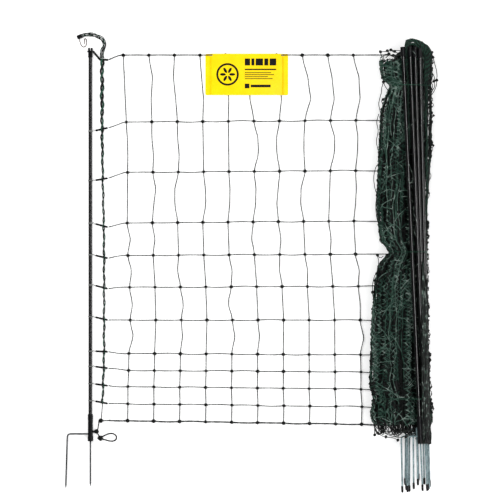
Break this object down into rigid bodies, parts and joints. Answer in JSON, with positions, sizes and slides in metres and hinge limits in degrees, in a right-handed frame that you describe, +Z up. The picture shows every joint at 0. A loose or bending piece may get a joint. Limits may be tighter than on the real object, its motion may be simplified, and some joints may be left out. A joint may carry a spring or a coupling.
{
  "type": "electric poultry netting",
  "caption": "Flat electric fence netting of knotted twine with a double-spiked first post and a hung warning plate; the rest of the net and posts lie gathered in a tied bundle.",
  "frame": {"origin": "Middle of the bounding box at floor height, without the loose tail and the tie loop", "axes": "+X runs along the lines from the first post to the bundle, +Y runs up the posts to the top line, +Z is up from the floor"},
  "size_m": [1.105, 1.3813, 0.1043],
  "materials": {
    "twine": "matte",
    "green_cord": "matte",
    "gathered_twine": "matte",
    "glass_fibre": "gloss",
    "black_plastic": "satin",
    "galvanised": "satin",
    "steel_wire": "satin",
    "plate_yellow": "satin"
  },
  "bodies": {
    "net": {"first_post_rod": "glass_fibre", "first_post_head": "black_plastic", "first_post_sleeve": "black_plastic", "first_post_spike": "galvanised", "line_01": "twine", "line_02": "twine", "line_03": "twine", "line_04": "twine", "line_05": "twine", "line_06": "twine", "line_07": "twine", "line_08": "twine", "line_09": "twine", "line_10": "twine", "line_11": "twine", "line_12": "twine", "vertical_01": "twine", "vertical_02": "twine", "vertical_03": "twine", "vertical_04": "twine", "vertical_05": "twine", "vertical_06": "twine", "vertical_07": "twine", "vertical_08": "twine", "vertical_09": "twine", "vertical_10": "twine", "edge_cord": "green_cord", "tail_cord": "green_cord", "tail_end_cap": "black_plastic", "tail_clip": "steel_wire", "tie_loop_cord": "black_plastic", "tie_loop_knot": "black_plastic", "gathered_net": "gathered_twine", "bundle_tie_1": "green_cord", "bundle_tie_2": "green_cord", "bundle_tie_3": "green_cord", "post_2": "glass_fibre", "post_2_spike": "galvanised", "post_3": "glass_fibre", "post_3_spike": "galvanised", "post_4": "glass_fibre", "post_4_spike": "galvanised", "post_5": "glass_fibre", "post_5_spike": "galvanised", "post_6": "glass_fibre", "post_6_spike": "galvanised", "post_7": "glass_fibre", "post_7_spike": "galvanised", "post_8": "glass_fibre", "post_8_spike": "galvanised", "post_9": "glass_fibre", "post_9_spike": "galvanised"},
    "plate": {"warning_plate": "plate_yellow"}
  },
  "joints": [
    {"name": "plate_swing", "type": "hinge", "parent": "net", "child": "plate", "pos_m": [0, 0.63499, 0.0042], "axis": [-1, 0, 0], "range_deg": [0, 150]}
  ]
}
